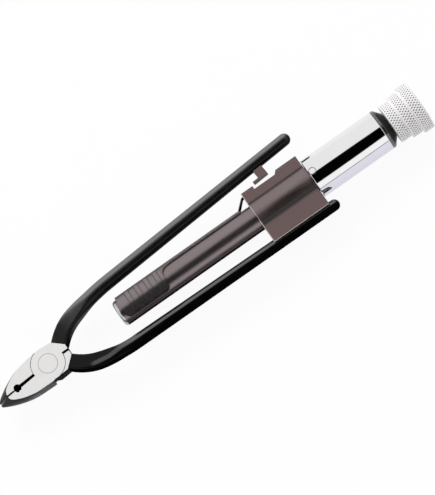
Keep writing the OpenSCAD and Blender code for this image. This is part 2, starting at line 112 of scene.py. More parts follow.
# Step behind the lower jaw, measured in the photograph: a wedge out of its side, highest at its front end
STEP_X, STEP_Y = -2.1 * MM, -6.4 * MM
STEP_LEN, STEP_H = 3.9 * MM, 4.6 * MM

# Wedge of the step: how far it goes below the back face, and where it ends outside
STEP_DROP, STEP_OUT = 1 * MM, -14 * MM

# Heads in the visual model: lap under the coat, scale of the wire hole at the back, reach of joined points
COAT_LAP = 0.3 * MM
HOLE_TAPER = 0.4
NEAR = 0.02 * MM

# Other cutters: how far they reach past what they cut
PAST = 2 * MM

# Bracket, as in the CAD model: half its width, its sheet, the round over the tube and the hook's opening
BRACKET_HALF, SHEET_T = 4.1 * MM, 1.0 * MM
BULGE_R = TUBE_R + SHEET_T + 0.3 * MM
TOP_T = 0.8 * MM
OPENING_X = (123.7 * MM, 135.1 * MM)
OPENING_DEPTH, OPENING_SLOPE = 1.95 * MM, 1.66 * MM

# Bracket in the visual model: gap to the tube, soft folds beside the round, rounded top and broken edges
TUBE_GAP = 0.02 * MM
CREASE = 0.3 * MM
TOP_ROUND = 1.1 * MM
SHEET_EDGE = 0.16 * MM

# Lock slide, as in the CAD model: lengths along the tool, radii, and angles round the tube
PAD_LEN, STRIP_END = 24.6 * MM, 112 * MM
SLIDE_IN = TUBE_R + 0.1 * MM
SLIDE_T = 1 * MM
SLIDE_OUT = SLIDE_IN + SLIDE_T
PAD_LOW, PAD_HIGH = math.radians(-50), math.radians(138)
STRIP_LOW, STRIP_HIGH = math.radians(50), math.radians(130)

# Lock slide in the visual model: rounded corners, the sweep from the pad to the strip, and broken edges
PAD_CORNER = 3 * MM
SWEEP, SWEEP_LOW = 6 * MM, math.radians(5)
SLIDE_EDGE = 0.12 * MM

# Ribs on the pad: count and pitch, place of the first, width of a flank, size, and ends round the tube
RIBS, RIB_PITCH = 4, 5.2 * MM
RIB_START, RIB_FLANK = 4.8 * MM, 0.5 * MM
RIB_W, RIB_H = 2.3 * MM, 0.45 * MM
RIB_LOW, RIB_HIGH = math.radians(-35), math.radians(38)

# Tongue of the lock slide: section, root under the strip, rounded bends and broken edges
TONGUE_TOP, TONGUE_T, TONGUE_W = 12 * MM, 0.7 * MM, 2.5 * MM
TONGUE_ROOT = 3 * MM
TONGUE_ROUND, TONGUE_EDGE = 0.6 * MM, 0.1 * MM

# Broken edges of the hook and the rivet
HOOK_EDGE, RIVET_EDGE = 0.12 * MM, 0.08 * MM

# Barrel: wall, rounded edges, slots at three places round it in degrees, and the hole of the flush pin
BARREL_WALL, BARREL_ROUND = 1.5 * MM, 0.35 * MM
SLOT_SIDES = (-73, 48, 167)
SLOT_HALF, SLOT_LEN = 0.92 * MM, 5 * MM
PIN_X, PIN_HOLE_R = 1.8 * MM, 1.85 * MM

# Collar: spigot in the barrel, straight rim, rounded edges, bore and small end
SPIGOT, SPIGOT_R = 5 * MM, 8.45 * MM
COLLAR_RIM, COLLAR_ROUND = 1.4 * MM, 0.4 * MM
COLLAR_BORE, COLLAR_END_R = 4.6 * MM, 6.3 * MM

# Bands of the knob: radii, gaps before each, after each and after the last, then edges and roots
BAND_R = (10.1 * MM, 11.35 * MM, 12.6 * MM)
BAND_START, BAND_GAP, END_GAP = 0.1 * MM, 0.5 * MM, 0.3 * MM
BAND_EDGE, BAND_ROOT, BAND_TUCK = 0.3 * MM, 1.2 * MM, 0.1 * MM

# Core of the knob: front face and shoulder, depth under the bands, chamfer, bore and counterbore
KNOB_FRONT_R, SHOULDER_R, SHOULDER = 8.6 * MM, 9.3 * MM, 0.5 * MM
CORE_DEPTH, CORE_CHAMFER, CHAMFER_DEPTH = 0.55 * MM, 1.0 * MM, 1.6 * MM
KNOB_BORE = 2.1 * MM
SCREW_R, SCREW_DEPTH = 3.6 * MM, 2.4 * MM

# Knurl: size of a diamond, depth and slope of its grooves, and points for each diamond round and along
KNURL_AROUND, KNURL_ALONG = 1.4 * MM, 2.18 * MM
KNURL_DEPTH, GROOVE_SLOPE = 0.3 * MM, 2.2
PER_KNURL, ROWS_PER_KNURL = 6, 12

# The photograph's camera
ROLL = math.radians(18)
TURN = math.radians(35.1)
TARGET = Vector((94.3, 0.0, 4.0)) * MM
DISTANCE = 1.65
SENSOR = 36
PHOTO_HEIGHT = 227.7 * MM


# Curves and colours
def ease(t):
    """A smooth step from 0 at t = 0 to 1 at t = 1."""
    t = max(0.0, min(1.0, t))
    return t * t * (3 - 2 * t)


def quarter(t):
    """The height of a quarter circle, from 0 at t = 0 to 1 at t = 1."""
    return math.sqrt(max(0.0, 1 - (1 - t) ** 2))


def grey(level):
    return (level, level, level)


def scaled(colour, factor):
    return tuple(c * factor for c in colour)


# Meshes
def link(obj):
    bpy.context.scene.collection.objects.link(obj)
    return obj


def smooth(obj, angle=35):
    mesh = obj.data
    mesh.shade_smooth()
    mesh.set_sharp_from_angle(angle=math.radians(angle))
    return obj


def make(name, verts, faces, angle=35):
    mesh = bpy.data.meshes.new(name)
    mesh.from_pydata([tuple(v) for v in verts], [], faces)
    mesh.validate()
    bm = bmesh.new()
    bm.from_mesh(mesh)
    bmesh.ops.recalc_face_normals(bm, faces=bm.faces)
    bm.to_mesh(mesh)
    bm.free()
    return smooth(link(bpy.data.objects.new(name, mesh)), angle)


def finish_piece(obj, body, slot, mat, *replaced):
    obj.data.materials.clear()
    obj.data.materials.append(mat)
    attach(obj, body)
    if replaced:
        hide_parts(*replaced)
    return obj


def store(obj, name, values):
    """Stores one value for each point of a mesh, for its material."""
    obj.data.attributes.new(name, "FLOAT", "POINT").data.foreach_set("value", values)


def around(x, r, angle):
    """A point round the barrel's axis; the angle counts from the front towards the moving handle."""
    return Vector((x, AXIS_Y + r * math.sin(angle), AXIS_Z + r * math.cos(angle)))


def fillet(points, radius, steps=4, closed=True):
    """Rounds each corner of a flat outline with a quadratic curve that starts radius before it."""
    out = []
    count = len(points)
    for i, p in enumerate(points):
        p = Vector(p)
        if not closed and i in (0, count - 1):
            out.append(p)
            continue
        before = Vector(points[i - 1]) - p
        after = Vector(points[(i + 1) % count]) - p
        reach = min(radius, before.length * 0.45, after.length * 0.45)
        a = p + before.normalized() * reach
        b = p + after.normalized() * reach
        for k in range(steps + 1):
            t = k / steps
            out.append(a * (1 - t) ** 2 + p * 2 * t * (1 - t) + b * t * t)
    return out


def bridge(rings, closed_rings=False):
    """Points and faces of successive rings of equal length, with a cap at each end unless they close."""
    n = len(rings[0])
    faces = []
    last = len(rings) if closed_rings else len(rings) - 1
    for i in range(last):
        a, b = i * n, ((i + 1) % len(rings)) * n
        for j in range(n):
            k = (j + 1) % n
            faces.append((a + j, a + k, b + k, b + j))
    if not closed_rings:
        faces.append(tuple(range(n))[::-1])
        faces.append(tuple(range((len(rings) - 1) * n, len(rings) * n)))
    return [v for ring in rings for v in ring], faces


def lathe(name, profile, segments, angle=35):
    """A closed profile of (x, radius) points turned about the barrel's axis."""
    rings = []
    for s in range(segments):
        a = 2 * math.pi * s / segments
        rings.append([around(x, r, a) for x, r in profile])
    return make(name, *bridge(rings, closed_rings=True), angle=angle)


def prism(name, outline, low, high):
    """An outline in X and Y, extruded along Z."""
    rings = [[Vector((p[0], p[1], z)) for p in outline] for z in (low, high)]
    return make(name, *bridge(rings))


def apply_modifiers(obj):
    bpy.context.view_layer.update()
    evaluated = obj.evaluated_get(bpy.context.evaluated_depsgraph_get())
    mesh = bpy.data.meshes.new_from_object(evaluated)
    obj.modifiers.clear()
    obj.data = mesh
    return obj


def bevelled(obj, width, limit):
    """Breaks the edges that are sharper than limit, in degrees."""
    mod = obj.modifiers.new("edges", "BEVEL")
    mod.width = width
    mod.segments = 2
    mod.limit_method = "ANGLE"
    mod.angle_limit = math.radians(limit)
    mod.use_clamp_overlap = True
    return apply_modifiers(obj)


def flat_faces(obj):
    """Shades the faces that look straight along Z as flat, so that their edges don't bend their light."""
    for face in obj.data.polygons:
        if abs(face.normal.z) > 0.999:
            face.use_smooth = False
    return obj


def carve(obj, *cutters):
    for cutter in cutters:
        mod = obj.modifiers.new("cut", "BOOLEAN")
        mod.operation = "DIFFERENCE"
        mod.solver = "EXACT"
        mod.object = cutter
        apply_modifiers(obj)
        bpy.data.objects.remove(cutter)
    return obj


def copied(name, node, *cutters):
    """A new piece with the shape of a CAD node less the cutters."""
    obj = link(bpy.data.objects.new(name, nodes[node].data.copy()))
    bm = bmesh.new()
    bm.from_mesh(obj.data)
    bmesh.ops.remove_doubles(bm, verts=bm.verts, dist=1e-6)
    bm.to_mesh(obj.data)
    bm.free()
    return carve(obj, *cutters)


def joined(obj):
    """Joins up the triangles of each flat face."""
    bm = bmesh.new()
    bm.from_mesh(obj.data)
    bmesh.ops.dissolve_limit(bm, angle_limit=math.radians(0.5), verts=bm.verts, edges=bm.edges)
    bm.to_mesh(obj.data)
    bm.free()
    return obj


# Node trees
class Nodes:
    """Short ways to add nodes to a tree."""

    def __init__(self, tree):
        self.tree = tree

    def node(self, kind, **values):
        made = self.tree.nodes.new(kind)
        for key, value in values.items():
            setattr(made, key, value)
        return made

    def wire(self, a, b):
        self.tree.links.new(a, b)

    def feed(self, socket, value):
        """Gives a socket a number, a colour or another node's output."""
        if isinstance(value, (int, float)):
            socket.default_value = value
        elif isinstance(value, tuple):
            socket.default_value = (*value, 1)
        else:
            self.wire(value, socket)

    def ramp(self, source, stops):
        made = self.node("ShaderNodeValToRGB")
        elements = made.color_ramp.elements
        while len(elements) < len(stops):
            elements.new(0.5)
        for element, (place, colour) in zip(elements, stops):
            element.position = place
            element.color = (*colour, 1)
        self.wire(source, made.inputs["Fac"])
        return made.outputs["Color"]

    def mix(self, factor, a, b, kind="MIX"):
        made = self.node("ShaderNodeMix", data_type="RGBA", blend_type=kind)
        for value, socket in ((factor, "Factor"), (a, "A"), (b, "B")):
            self.feed(made.inputs[socket], value)
        return made.outputs["Result"]


class Maker(Nodes):
    """A node material with a Principled shader."""

    def __init__(self, name, base, metallic, roughness):
        self.mat = bpy.data.materials.new(name)
        self.mat.use_nodes = True
        super().__init__(self.mat.node_tree)
        self.shader = self.tree.nodes["Principled BSDF"]
        self.shader.inputs["Base Color"].default_value = (*base, 1)
        self.shader.inputs["Metallic"].default_value = metallic
        self.shader.inputs["Roughness"].default_value = roughness

    def noise(self, scale, detail=4, stretch=(1, 1, 1)):
        place = self.node("ShaderNodeTexCoord")
        mapping = self.node("ShaderNodeMapping")
        mapping.inputs["Scale"].default_value = stretch
        self.wire(place.outputs["Object"], mapping.inputs["Vector"])
        made = self.node("ShaderNodeTexNoise")
        made.inputs["Scale"].default_value = scale
        made.inputs["Detail"].default_value = detail
        self.wire(mapping.outputs["Vector"], made.inputs["Vector"])
        return made.outputs["Fac"]

    def remap(self, source, low, high, start=0.3, end=0.7):
        """Low where the source is at start, high where it is at end, and level beyond them."""
        made = self.node("ShaderNodeMapRange")
        made.inputs["From Min"].default_value = start
        made.inputs["From Max"].default_value = end
        made.inputs["To Min"].default_value = low
        made.inputs["To Max"].default_value = high
        self.wire(source, made.inputs["Value"])
        return made.outputs["Result"]

    def math(self, operation, a, b=0.0):
        made = self.node("ShaderNodeMath", operation=operation)
        for value, socket in zip((a, b), made.inputs):
            self.feed(socket, value)
        return made.outputs["Value"]

    def bump(self, height, strength, distance):
        made = self.node("ShaderNodeBump")
        made.inputs["Strength"].default_value = strength
        made.inputs["Distance"].default_value = distance
        self.wire(height, made.inputs["Height"])
        self.set("Normal", made.outputs["Normal"])

    def coordinate(self, kind, axis):
        place = self.node("ShaderNodeTexCoord")
        split = self.node("ShaderNodeSeparateXYZ")
        self.wire(place.outputs[kind], split.inputs["Vector"])
        return split.outputs[axis]

    def facing(self, axis):
        """How far the surface turns towards an axis of its own object, from -1 to 1."""
        return self.coordinate("Normal", axis)

    def place(self, axis):
        """A coordinate of the surface in its own object."""
        return self.coordinate("Object", axis)

    def stored(self, name):
        """A value stored for each point of the mesh."""
        return self.node("ShaderNodeAttribute", attribute_name=name).outputs["Fac"]

    def set(self, socket, value):
        self.wire(value, self.shader.inputs[socket])


# Black coat of the handles, and the level, fade-in and widths of the highlight painted along the fold
BLACK_IOR = 1.8
FOLD_HIGHLIGHT_LEVEL, FOLD_HIGHLIGHT_FADE = 0.5, 3 * MM
FOLD_HIGHLIGHT_CORE, FOLD_HIGHLIGHT_EDGE = 0.7 * MM, 1.3 * MM


def black_forging(name, base, painted_shine, roughness, neck, bar_start, fold=None):
    """Black baked coat with a painted highlight: its specular level follows the way the surface faces, low
    on the flat neck and high along the bar's upper side.

    The shine list gives the bar's painted highlight by the way it faces, from -Y at 0 to +Y at 1, and neck
    the painted shine of the flats. Bar_start is where the bar's shine begins along X and where it is full.
    Fold is the bent line where a flat neck turns into the bar, along which a highlight is painted: three
    points in X and Y, of which the middle one is the lowest.
    """
    m = Maker(name, base, 0.0, roughness)
    m.shader.inputs["IOR"].default_value = BLACK_IOR
    m.set("Base Color", m.ramp(m.noise(260), [(0.35, scaled(base, 0.7)), (0.7, scaled(base, 1.5))]))
    m.set("Roughness", m.remap(m.noise(700), roughness, roughness + 0.1))
    # Painted highlight: the specular level follows the way the surface faces and fades towards the end cap
    turned = m.remap(m.facing("Y"), 0.0, 1.0, -1.0, 1.0)
    bar = m.ramp(turned, [(at, grey(level)) for at, level in painted_shine])
    bar = m.math("MULTIPLY", bar, m.remap(m.facing("X"), 1.0, 0.1, 0.3, 0.7))
    x = m.place("X")
    flat = m.remap(m.math("ABSOLUTE", m.facing("Z")), 0.0, neck, 0.6, 0.9)
    # A highlight painted along the fold of the fixed neck
    if fold:
        (x0, y0), (x1, y1), (x2, y2) = fold
        line = m.math("MAXIMUM", m.remap(x, y0, y1, x0, x1), m.remap(x, y1, y2, x1, x2))
        beside = m.math("ABSOLUTE", m.math("SUBTRACT", m.place("Y"), line))
        light = m.remap(beside, FOLD_HIGHLIGHT_LEVEL, 0.0, FOLD_HIGHLIGHT_CORE, FOLD_HIGHLIGHT_EDGE)
        light = m.math("MULTIPLY", light, m.remap(x, 0.0, 1.0, x0, x0 + FOLD_HIGHLIGHT_FADE))
        flat = m.math("MAXIMUM", flat, light)
    m.set("Specular IOR Level", m.mix(m.remap(x, 0.0, 1.0, *bar_start), flat, bar))
    m.bump(m.noise(1800), 0.04, 0.03 * MM)
    return m.mat


# Head: bright rim of the ground faces, seam round the rivet, painted shade in the slot beside the parting
# line, tones, and the span and fade-out of the painted shine on the black sides
RIM_H = 0.17 * MM
SEAM_HALF = 0.13 * MM
SLOT_SHADE_REACH = 2.5 * MM
SIDE_BLACK = (0.006, 0.006, 0.007)
SEAM_TONE = (0.5, 0.49, 0.48)
PAINTED_SHINE_SPAN = (FACE_END - 14 * MM, FACE_END + 3 * MM)
STEP_SHINE_FADE = 0.3 * MM


def ground_head():
    """Ground bright on the two flat faces and black on the sides, with a painted shine on the sides that
    grows towards the nose and fades behind the step, and painted shade that takes the shine away inside the
    jaw slot.
    """
    m = Maker("ground_head", (0.9, 0.89, 0.88), 1.0, 0.34)
    x, y = m.place("X"), m.place("Y")
    height = m.math("ABSOLUTE", m.math("SUBTRACT", m.place("Z"), AXIS_Z))
    flat = m.math("GREATER_THAN", height, HEAD_T / 2 - RIM_H)
    radius = m.math("SQRT", m.math("ADD", m.math("POWER", x, 2.0), m.math("POWER", y, 2.0)))
    beside = m.math("SUBTRACT", y, m.math("MULTIPLY", x, math.tan(JAW_TILT)))
    reach = m.math("SUBTRACT", m.math("DIVIDE", m.math("POWER", beside, 2.0), 2 * FACE_END_R), x)
    nose = m.math("GREATER_THAN", reach, FACE_END)
    behind = m.math("GREATER_THAN", m.math("MINIMUM", x, radius), BOSS_R)
    notch = m.math("MULTIPLY", behind, m.math("LESS_THAN", m.math("ABSOLUTE", y), NOTCH_W / 2))
    ground = m.math("MULTIPLY", flat, m.math("SUBTRACT", 1.0, m.math("MAXIMUM", nose, notch)))
    grind = m.noise(60, 6, (8, 90, 8))
    cloud = m.noise(160, 3)
    steel = m.ramp(grind, [(0.3, (0.88, 0.87, 0.86)), (0.7, (0.96, 0.955, 0.945))])
    wear_and_edge_highlight = m.mix(m.remap(cloud, 0.0, 0.35), steel, (0.86, 0.85, 0.84))
    seam = m.math("LESS_THAN", m.math("ABSOLUTE", m.math("SUBTRACT", radius, RIVET_R)), SEAM_HALF)
    m.set("Base Color", m.mix(ground, SIDE_BLACK, m.mix(seam, wear_and_edge_highlight, SEAM_TONE)))
    m.set("Metallic", ground)
    m.set("Roughness", m.remap(grind, 0.3, 0.4))
    # Painted shade: no reflection on the black surfaces near the parting line, inside the jaw slot;
    # elsewhere a painted shine that grows towards the nose and fades behind the step
    outside = m.math("GREATER_THAN", m.math("ABSOLUTE", beside), SLOT_SHADE_REACH)
    outside_slot_shade = m.math("MAXIMUM", m.math("MAXIMUM", outside, ground), nose)
    shine = m.remap(reach, 0.14, 0.45, *PAINTED_SHINE_SPAN)
    shine = m.math("MULTIPLY", shine, m.remap(x, 1.0, 0.04, STEP_X, STEP_X + STEP_SHINE_FADE))
    m.set("Specular IOR Level", m.math("MULTIPLY", outside_slot_shade, shine))
    m.bump(grind, 0.05, 0.02 * MM)
    return m.mat


# Brown sheet: heights where the painted shade and highlight change, from -1 to 1 on a round, the reach and
# tone of the highlight painted on the bracket's edges, the tone of the shade painted on rib flanks and the
# tint of the shaded underside's reflection
DEEP_TURN = (-0.35, -0.7)
CROWN_LOW, CROWN_HIGH = (-0.4, 0.1), (0.6, 0.8)
EDGE_HIGHLIGHT_FRONT, EDGE_HIGHLIGHT_LOWER = 0.3 * MM, 0.25 * MM
EDGE_HIGHLIGHT_TONE = (0.62, 0.56, 0.55)
FLANK_SHADE_TONE = (0.03, 0.025, 0.026)
UNDER_SHADE_TINT = (0.15, 0.14, 0.14)


def burnished(name, base, roughness, r, under=None, turn=(-0.05, -0.2), belt=None, belt_low=(-0.72, -0.5),
              belt_high=(-0.3, 0.0), crown=None, deep=None, wear_and_edge_highlight=False, ribbed=False):
    """Brown satin sheet: heat-tinted steel with faint streaks along the tool.

    The tones follow the height on a round of radius r and are painted light and shade: under is a painted
    shade below turn, with its reflection tinted dark, deep a darker painted shade low on it, belt a dark
    painted reflection on the part that faces front and a little down, between belt_low and belt_high, and
    crown a light painted highlight on the part above that. The flag for bright edges paints a highlight on
    the bracket's front and lower edges, and ribbed paints shade on the flanks of the pad's ribs.
    """
    m = Maker(name, base, 1.0, roughness)
    streaks = m.noise(90, 5, (1, 14, 14))
    cloud = m.noise(120, 3)
    warm = tuple(c * f for c, f in zip(base, (1.04, 0.93, 0.92)))
    streaked = m.ramp(streaks, [(0.3, scaled(base, 0.92)), (0.7, scaled(base, 1.07))])
    colour = m.mix(m.remap(cloud, 0.0, 0.4), streaked, warm)
    height = m.remap(m.place("Y"), -1.0, 1.0, AXIS_Y - r, AXIS_Y + r)

    def between(low, high):
        return m.math("MULTIPLY", m.remap(height, 0.0, 1.0, *low), m.remap(height, 1.0, 0.0, *high))

    # Painted light and shade by height on the round: a dark underside, a darker low part, a dark belt for a
    # reflection and a light crown
    if under:
        below = m.remap(height, 0.0, 1.0, *turn)
        colour = m.mix(below, colour, under)
        m.set("Specular Tint", m.mix(below, grey(1.0), UNDER_SHADE_TINT))
    if deep:
        colour = m.mix(m.remap(height, 0.0, 1.0, *DEEP_TURN), colour, deep)
    if belt:
        colour = m.mix(between(belt_low, belt_high), colour, belt)
    if crown:
        colour = m.mix(between(CROWN_LOW, CROWN_HIGH), colour, crown)
    # Painted highlight on the bracket's front and lower edges
    if wear_and_edge_highlight:
        front = m.math("LESS_THAN", m.place("X"), BRACKET[0].x + EDGE_HIGHLIGHT_FRONT)
        lower = m.math("LESS_THAN", m.place("Y"), BRACKET[0].y + EDGE_HIGHLIGHT_LOWER)
        colour = m.mix(m.math("MAXIMUM", front, lower), colour, EDGE_HIGHLIGHT_TONE)
    # Painted shade on the flanks of the pad's ribs
    if ribbed:
        colour = m.mix(m.remap(m.stored("flank"), 0.0, 0.85, 0.1, 0.8), colour, FLANK_SHADE_TONE)
    m.set("Base Color", colour)
    m.set("Roughness", m.remap(streaks, roughness - 0.03, roughness + 0.05))
    m.bump(m.noise(1500), 0.04, 0.02 * MM)
    return m.mat


def knurled():
    """Plated knurl, bright on its diamonds, with painted shade at the bottom of each pit."""
    m = Maker("knurl", (0.95, 0.94, 0.945), 0.1, 0.38)
    cloud = m.noise(200, 3)
    plate = m.ramp(cloud, [(0.3, (0.9, 0.885, 0.89)), (0.7, (0.95, 0.935, 0.94))])
    # Painted shade at the bottom of each pit
    pit_shade = m.remap(m.stored("pit"), 0.0, 1.0, 0.45, 0.78)
    m.set("Base Color", m.mix(pit_shade, plate, (0.02, 0.018, 0.02)))
    m.set("Roughness", m.remap(cloud, 0.34, 0.44))
    return m.mat


def polished(name, base, roughness):
    m = Maker(name, base, 1.0, roughness)
    cloud = m.noise(110)
    m.set("Base Color", m.ramp(cloud, [(0.3, scaled(base, 0.97)), (0.7, base)]))
    m.set("Roughness", m.remap(cloud, roughness, roughness + 0.02))
    return m.mat


def turned_metal(name, base, roughness):
    m = Maker(name, base, 1.0, roughness)
    rings = m.noise(70, 5, (40, 2, 2))
    m.set("Base Color", m.ramp(rings, [(0.3, scaled(base, 0.85)), (0.7, base)]))
    m.set("Roughness", m.remap(rings, roughness - 0.05, roughness + 0.08))
    m.bump(rings, 0.08, 0.02 * MM)
    return m.mat


def gloss_black():
    """Gloss black, with its reflection painted by the way it faces: strong on the rim and faint on the
    cone, a painted shade.
    """
    m = Maker("gloss_black", (0.01, 0.01, 0.011), 0.0, 0.16)
    cloud = m.noise(300)
    m.set("Base Color", m.ramp(cloud, [(0.3, (0.007, 0.007, 0.008)), (0.7, (0.016, 0.016, 0.017))]))
    m.set("Roughness", m.remap(cloud, 0.12, 0.2))
    m.shader.inputs["IOR"].default_value = BLACK_IOR
    # Painted shade: the reflection falls where the surface faces along the tool, on the cone
    m.set("Specular IOR Level", m.remap(m.facing("X"), 0.9, 0.06, 0.15, 0.5))
    return m.mat


# Materials: painted highlights of the two bars by the way they face, the highlight painted along the fold
# on the fixed neck, and the finishes
MOVING_PAINTED_SHINE = [(0.08, 0.02), (0.28, 0.15), (0.5, 0.3), (0.6, 1.3), (0.78, 1.25), (0.95, 0.4)]
FIXED_PAINTED_SHINE = [(0.3, 0.0), (0.49, 0.02), (0.56, 0.8), (0.75, 1.0), (0.95, 1.3)]
FIXED_FOLD_HIGHLIGHT = ((15 * MM, -12.2 * MM), (25 * MM, -13.8 * MM), (33 * MM, -13.4 * MM))
MOVING_BLACK = black_forging("black_moving", grey(0.006), MOVING_PAINTED_SHINE, roughness=0.2, neck=0.09,
                             bar_start=(14 * MM, 22 * MM))
FIXED_BLACK = black_forging("black_fixed", grey(0.002), FIXED_PAINTED_SHINE, roughness=0.13, neck=0.08,
                            bar_start=(29 * MM, 38 * MM), fold=FIXED_FOLD_HIGHLIGHT)
HEAD = ground_head()
# Painted light and shade by height on each round: dark belts for reflections, a light crown, dark
# undersides and a darker low part, bright bracket edges and shaded rib flanks
BROWN = burnished("burnished_sheet", (0.175, 0.128, 0.127), 0.34, BULGE_R, belt=(0.05, 0.042, 0.043),
                  belt_low=(-0.92, -0.78), belt_high=(-0.55, -0.35), crown=(0.235, 0.19, 0.19), wear_and_edge_highlight=True)
TUBE = burnished("burnished_tube", (0.26, 0.222, 0.226), 0.32, TUBE_R, under=(0.035, 0.032, 0.032),
                 turn=(-0.85, -0.99), belt=(0.19, 0.16, 0.165))
PAD = burnished("burnished_pad", (0.28, 0.245, 0.252), 0.46, SLIDE_OUT, under=(0.085, 0.074, 0.078),
                deep=(0.03, 0.026, 0.027), ribbed=True)
CHROME = polished("chrome", (0.85, 0.85, 0.86), 0.035)
KNURL = knurled()
STEEL = turned_metal("bright_steel", (0.66, 0.66, 0.67), 0.26)
HARD = turned_metal("hardened_steel", (0.42, 0.42, 0.43), 0.32)
BRONZE = turned_metal("bronze", (0.62, 0.43, 0.22), 0.3)
COLLAR = gloss_black()


# Heads: the CAD halves up to the coat, with a step in the side and a wire hole that narrows to the back
def coat_plane(sign, neck):
    """A point on the plane where a head ends under its neck, and the neck's direction."""
    d = math.radians(neck)
    direction = Vector((math.cos(d), sign * math.sin(d), 0))
    return Vector((NECK.x, sign * NECK.y, 0)) + direction * COAT_LAP, direction


def jaw_step():
    """The wedge that leaves the step behind the lower jaw, from below the back face and from outside."""
    low = HEAD_BACK - STEP_DROP
    wedge = [(STEP_X, HEAD_BACK + STEP_H), (STEP_X, low), (STEP_X + STEP_LEN, low)]
    rings = [[Vector((x, y, z)) for x, z in wedge] for y in (STEP_OUT, STEP_Y)]
    return make("jaw_step", *bridge(rings))


def head(name, node, body, sign, neck):
    obj = copied(name, node, jaw_step())
    point, direction = coat_plane(sign, neck)
    bm = bmesh.new()
    bm.from_mesh(obj.data)
    geometry = bm.verts[:] + bm.edges[:] + bm.faces[:]
    cut = bmesh.ops.bisect_plane(bm, geom=geometry, plane_co=point, plane_no=direction, clear_outer=True)
    edges = [e for e in cut["geom_cut"] if isinstance(e, bmesh.types.BMEdge)]
    bmesh.ops.holes_fill(bm, edges=edges)
    tilt = JAW_TILT + sign * HALF_OPEN
    hole = -WIRE_HOLE_X * Vector((math.cos(tilt), math.sin(tilt)))
    for vert in bm.verts:
        out = vert.co.xy - hole
        if vert.co.z < HEAD_BACK + NEAR and out.length < WIRE_HOLE_R + NEAR:
            vert.co.xy = hole + out * HOLE_TAPER
    bmesh.ops.remove_doubles(bm, verts=bm.verts, dist=NEAR)
    bm.to_mesh(obj.data)
    bm.free()
    flat_faces(smooth(obj, 30))
    return finish_piece(obj, body, "forged_black", HEAD, node)


head("fixed_head", "fixed_half", "frame", -1, FIXED_DIRS[0])
head("moving_head", "moving_half", "handle", 1, MOVING_DIRS[0])


# Handles: one loft from the flat-sided neck to the round end
def superellipse(width, height, power, count=48):
    out = []
    for k in range(count):
        a = 2 * math.pi * k / count
        c, s = math.cos(a), math.sin(a)
        out.append((width / 2 * math.copysign(abs(c) ** (2 / power), c),
                    height / 2 * math.copysign(abs(s) ** (2 / power), s)))
    return out


def handle_path(dirs, wide_r, end_x):
    """Points, directions and distances along a handle's centre line, drawn with the handle up."""
    neck, middle, run = [math.radians(d) for d in dirs]
    path = [(NECK, neck, 0.0)]
    for low, high, r, steps in ((neck, middle, BEND_R, 40), (middle, run, wide_r, 30)):
        start, _, done = path[-1]
        centre = start + r * Vector((math.sin(low), -math.cos(low)))
        for k in range(1, steps + 1):
            d = low + (high - low) * k / steps
            path.append((centre + r * Vector((-math.sin(d), math.cos(d))), d, done + r * (low - d)))
    start, _, done = path[-1]
    length = (end_x - start.x) / math.cos(run)
    stops = [(length - END_CAP) * k / 50 for k in range(1, 51)]
    stops += [length - END_CAP + END_CAP * math.sin(math.pi / 2 * k / 10) for k in range(1, 11)]
    for step in stops:
        path.append((start + step * Vector((math.cos(run), math.sin(run))), run, done + step))
    return path


def handle(name, body, sign, dirs, wide_r, end_x, bar, coat):
    path = handle_path(dirs, wide_r, end_x)
    total = path[-1][2]
    bent = math.radians(dirs[0] - dirs[1]) * BEND_R + math.radians(dirs[1] - dirs[2]) * wide_r
    bar_d, end_d, taper = bar
    rings = []
    for point, d, s in path:
        power = FLAT_POWER + (ROUND_POWER - FLAT_POWER) * ease((s - FLAT_END) / (ROUND_START - FLAT_END))
        width = NECK_W + (bar_d - NECK_W) * ease(s / bent)
        width += (end_d - bar_d) * max(0.0, min(1.0, (s - bent) / taper))
        height = width + (NECK_T - width) * (1 - ease(s / ROUND_START))
        inward = NECK_SHIFT * (1 - ease(s / SHIFT_END))
        left = total - s
        close = 1.0
        if left < width / 2:
            close = quarter(left / (width / 2))
        if s < LIP:
            close *= LIP_SCALE + (1 - LIP_SCALE) * quarter(s / LIP)
        close = max(close, LEAST_RING)
        ring = []
        for w, z in superellipse(width * close, height * close, power):
            across = Vector((-math.sin(d), math.cos(d))) * (w - inward * close)
            ring.append(Vector((point.x + across.x, sign * (point.y + across.y), AXIS_Z + z)))
        rings.append(ring)
    obj = make(name, *bridge(rings), angle=50)
    return finish_piece(obj, body, "forged_black", coat)


handle("fixed_handle", "frame", -1, FIXED_DIRS, FIXED_BEND_R, FIXED_END, FIXED_BAR, FIXED_BLACK)
handle("moving_handle", "handle", 1, MOVING_DIRS, MOVING_BEND_R, MOVING_END, MOVING_BAR, MOVING_BLACK)


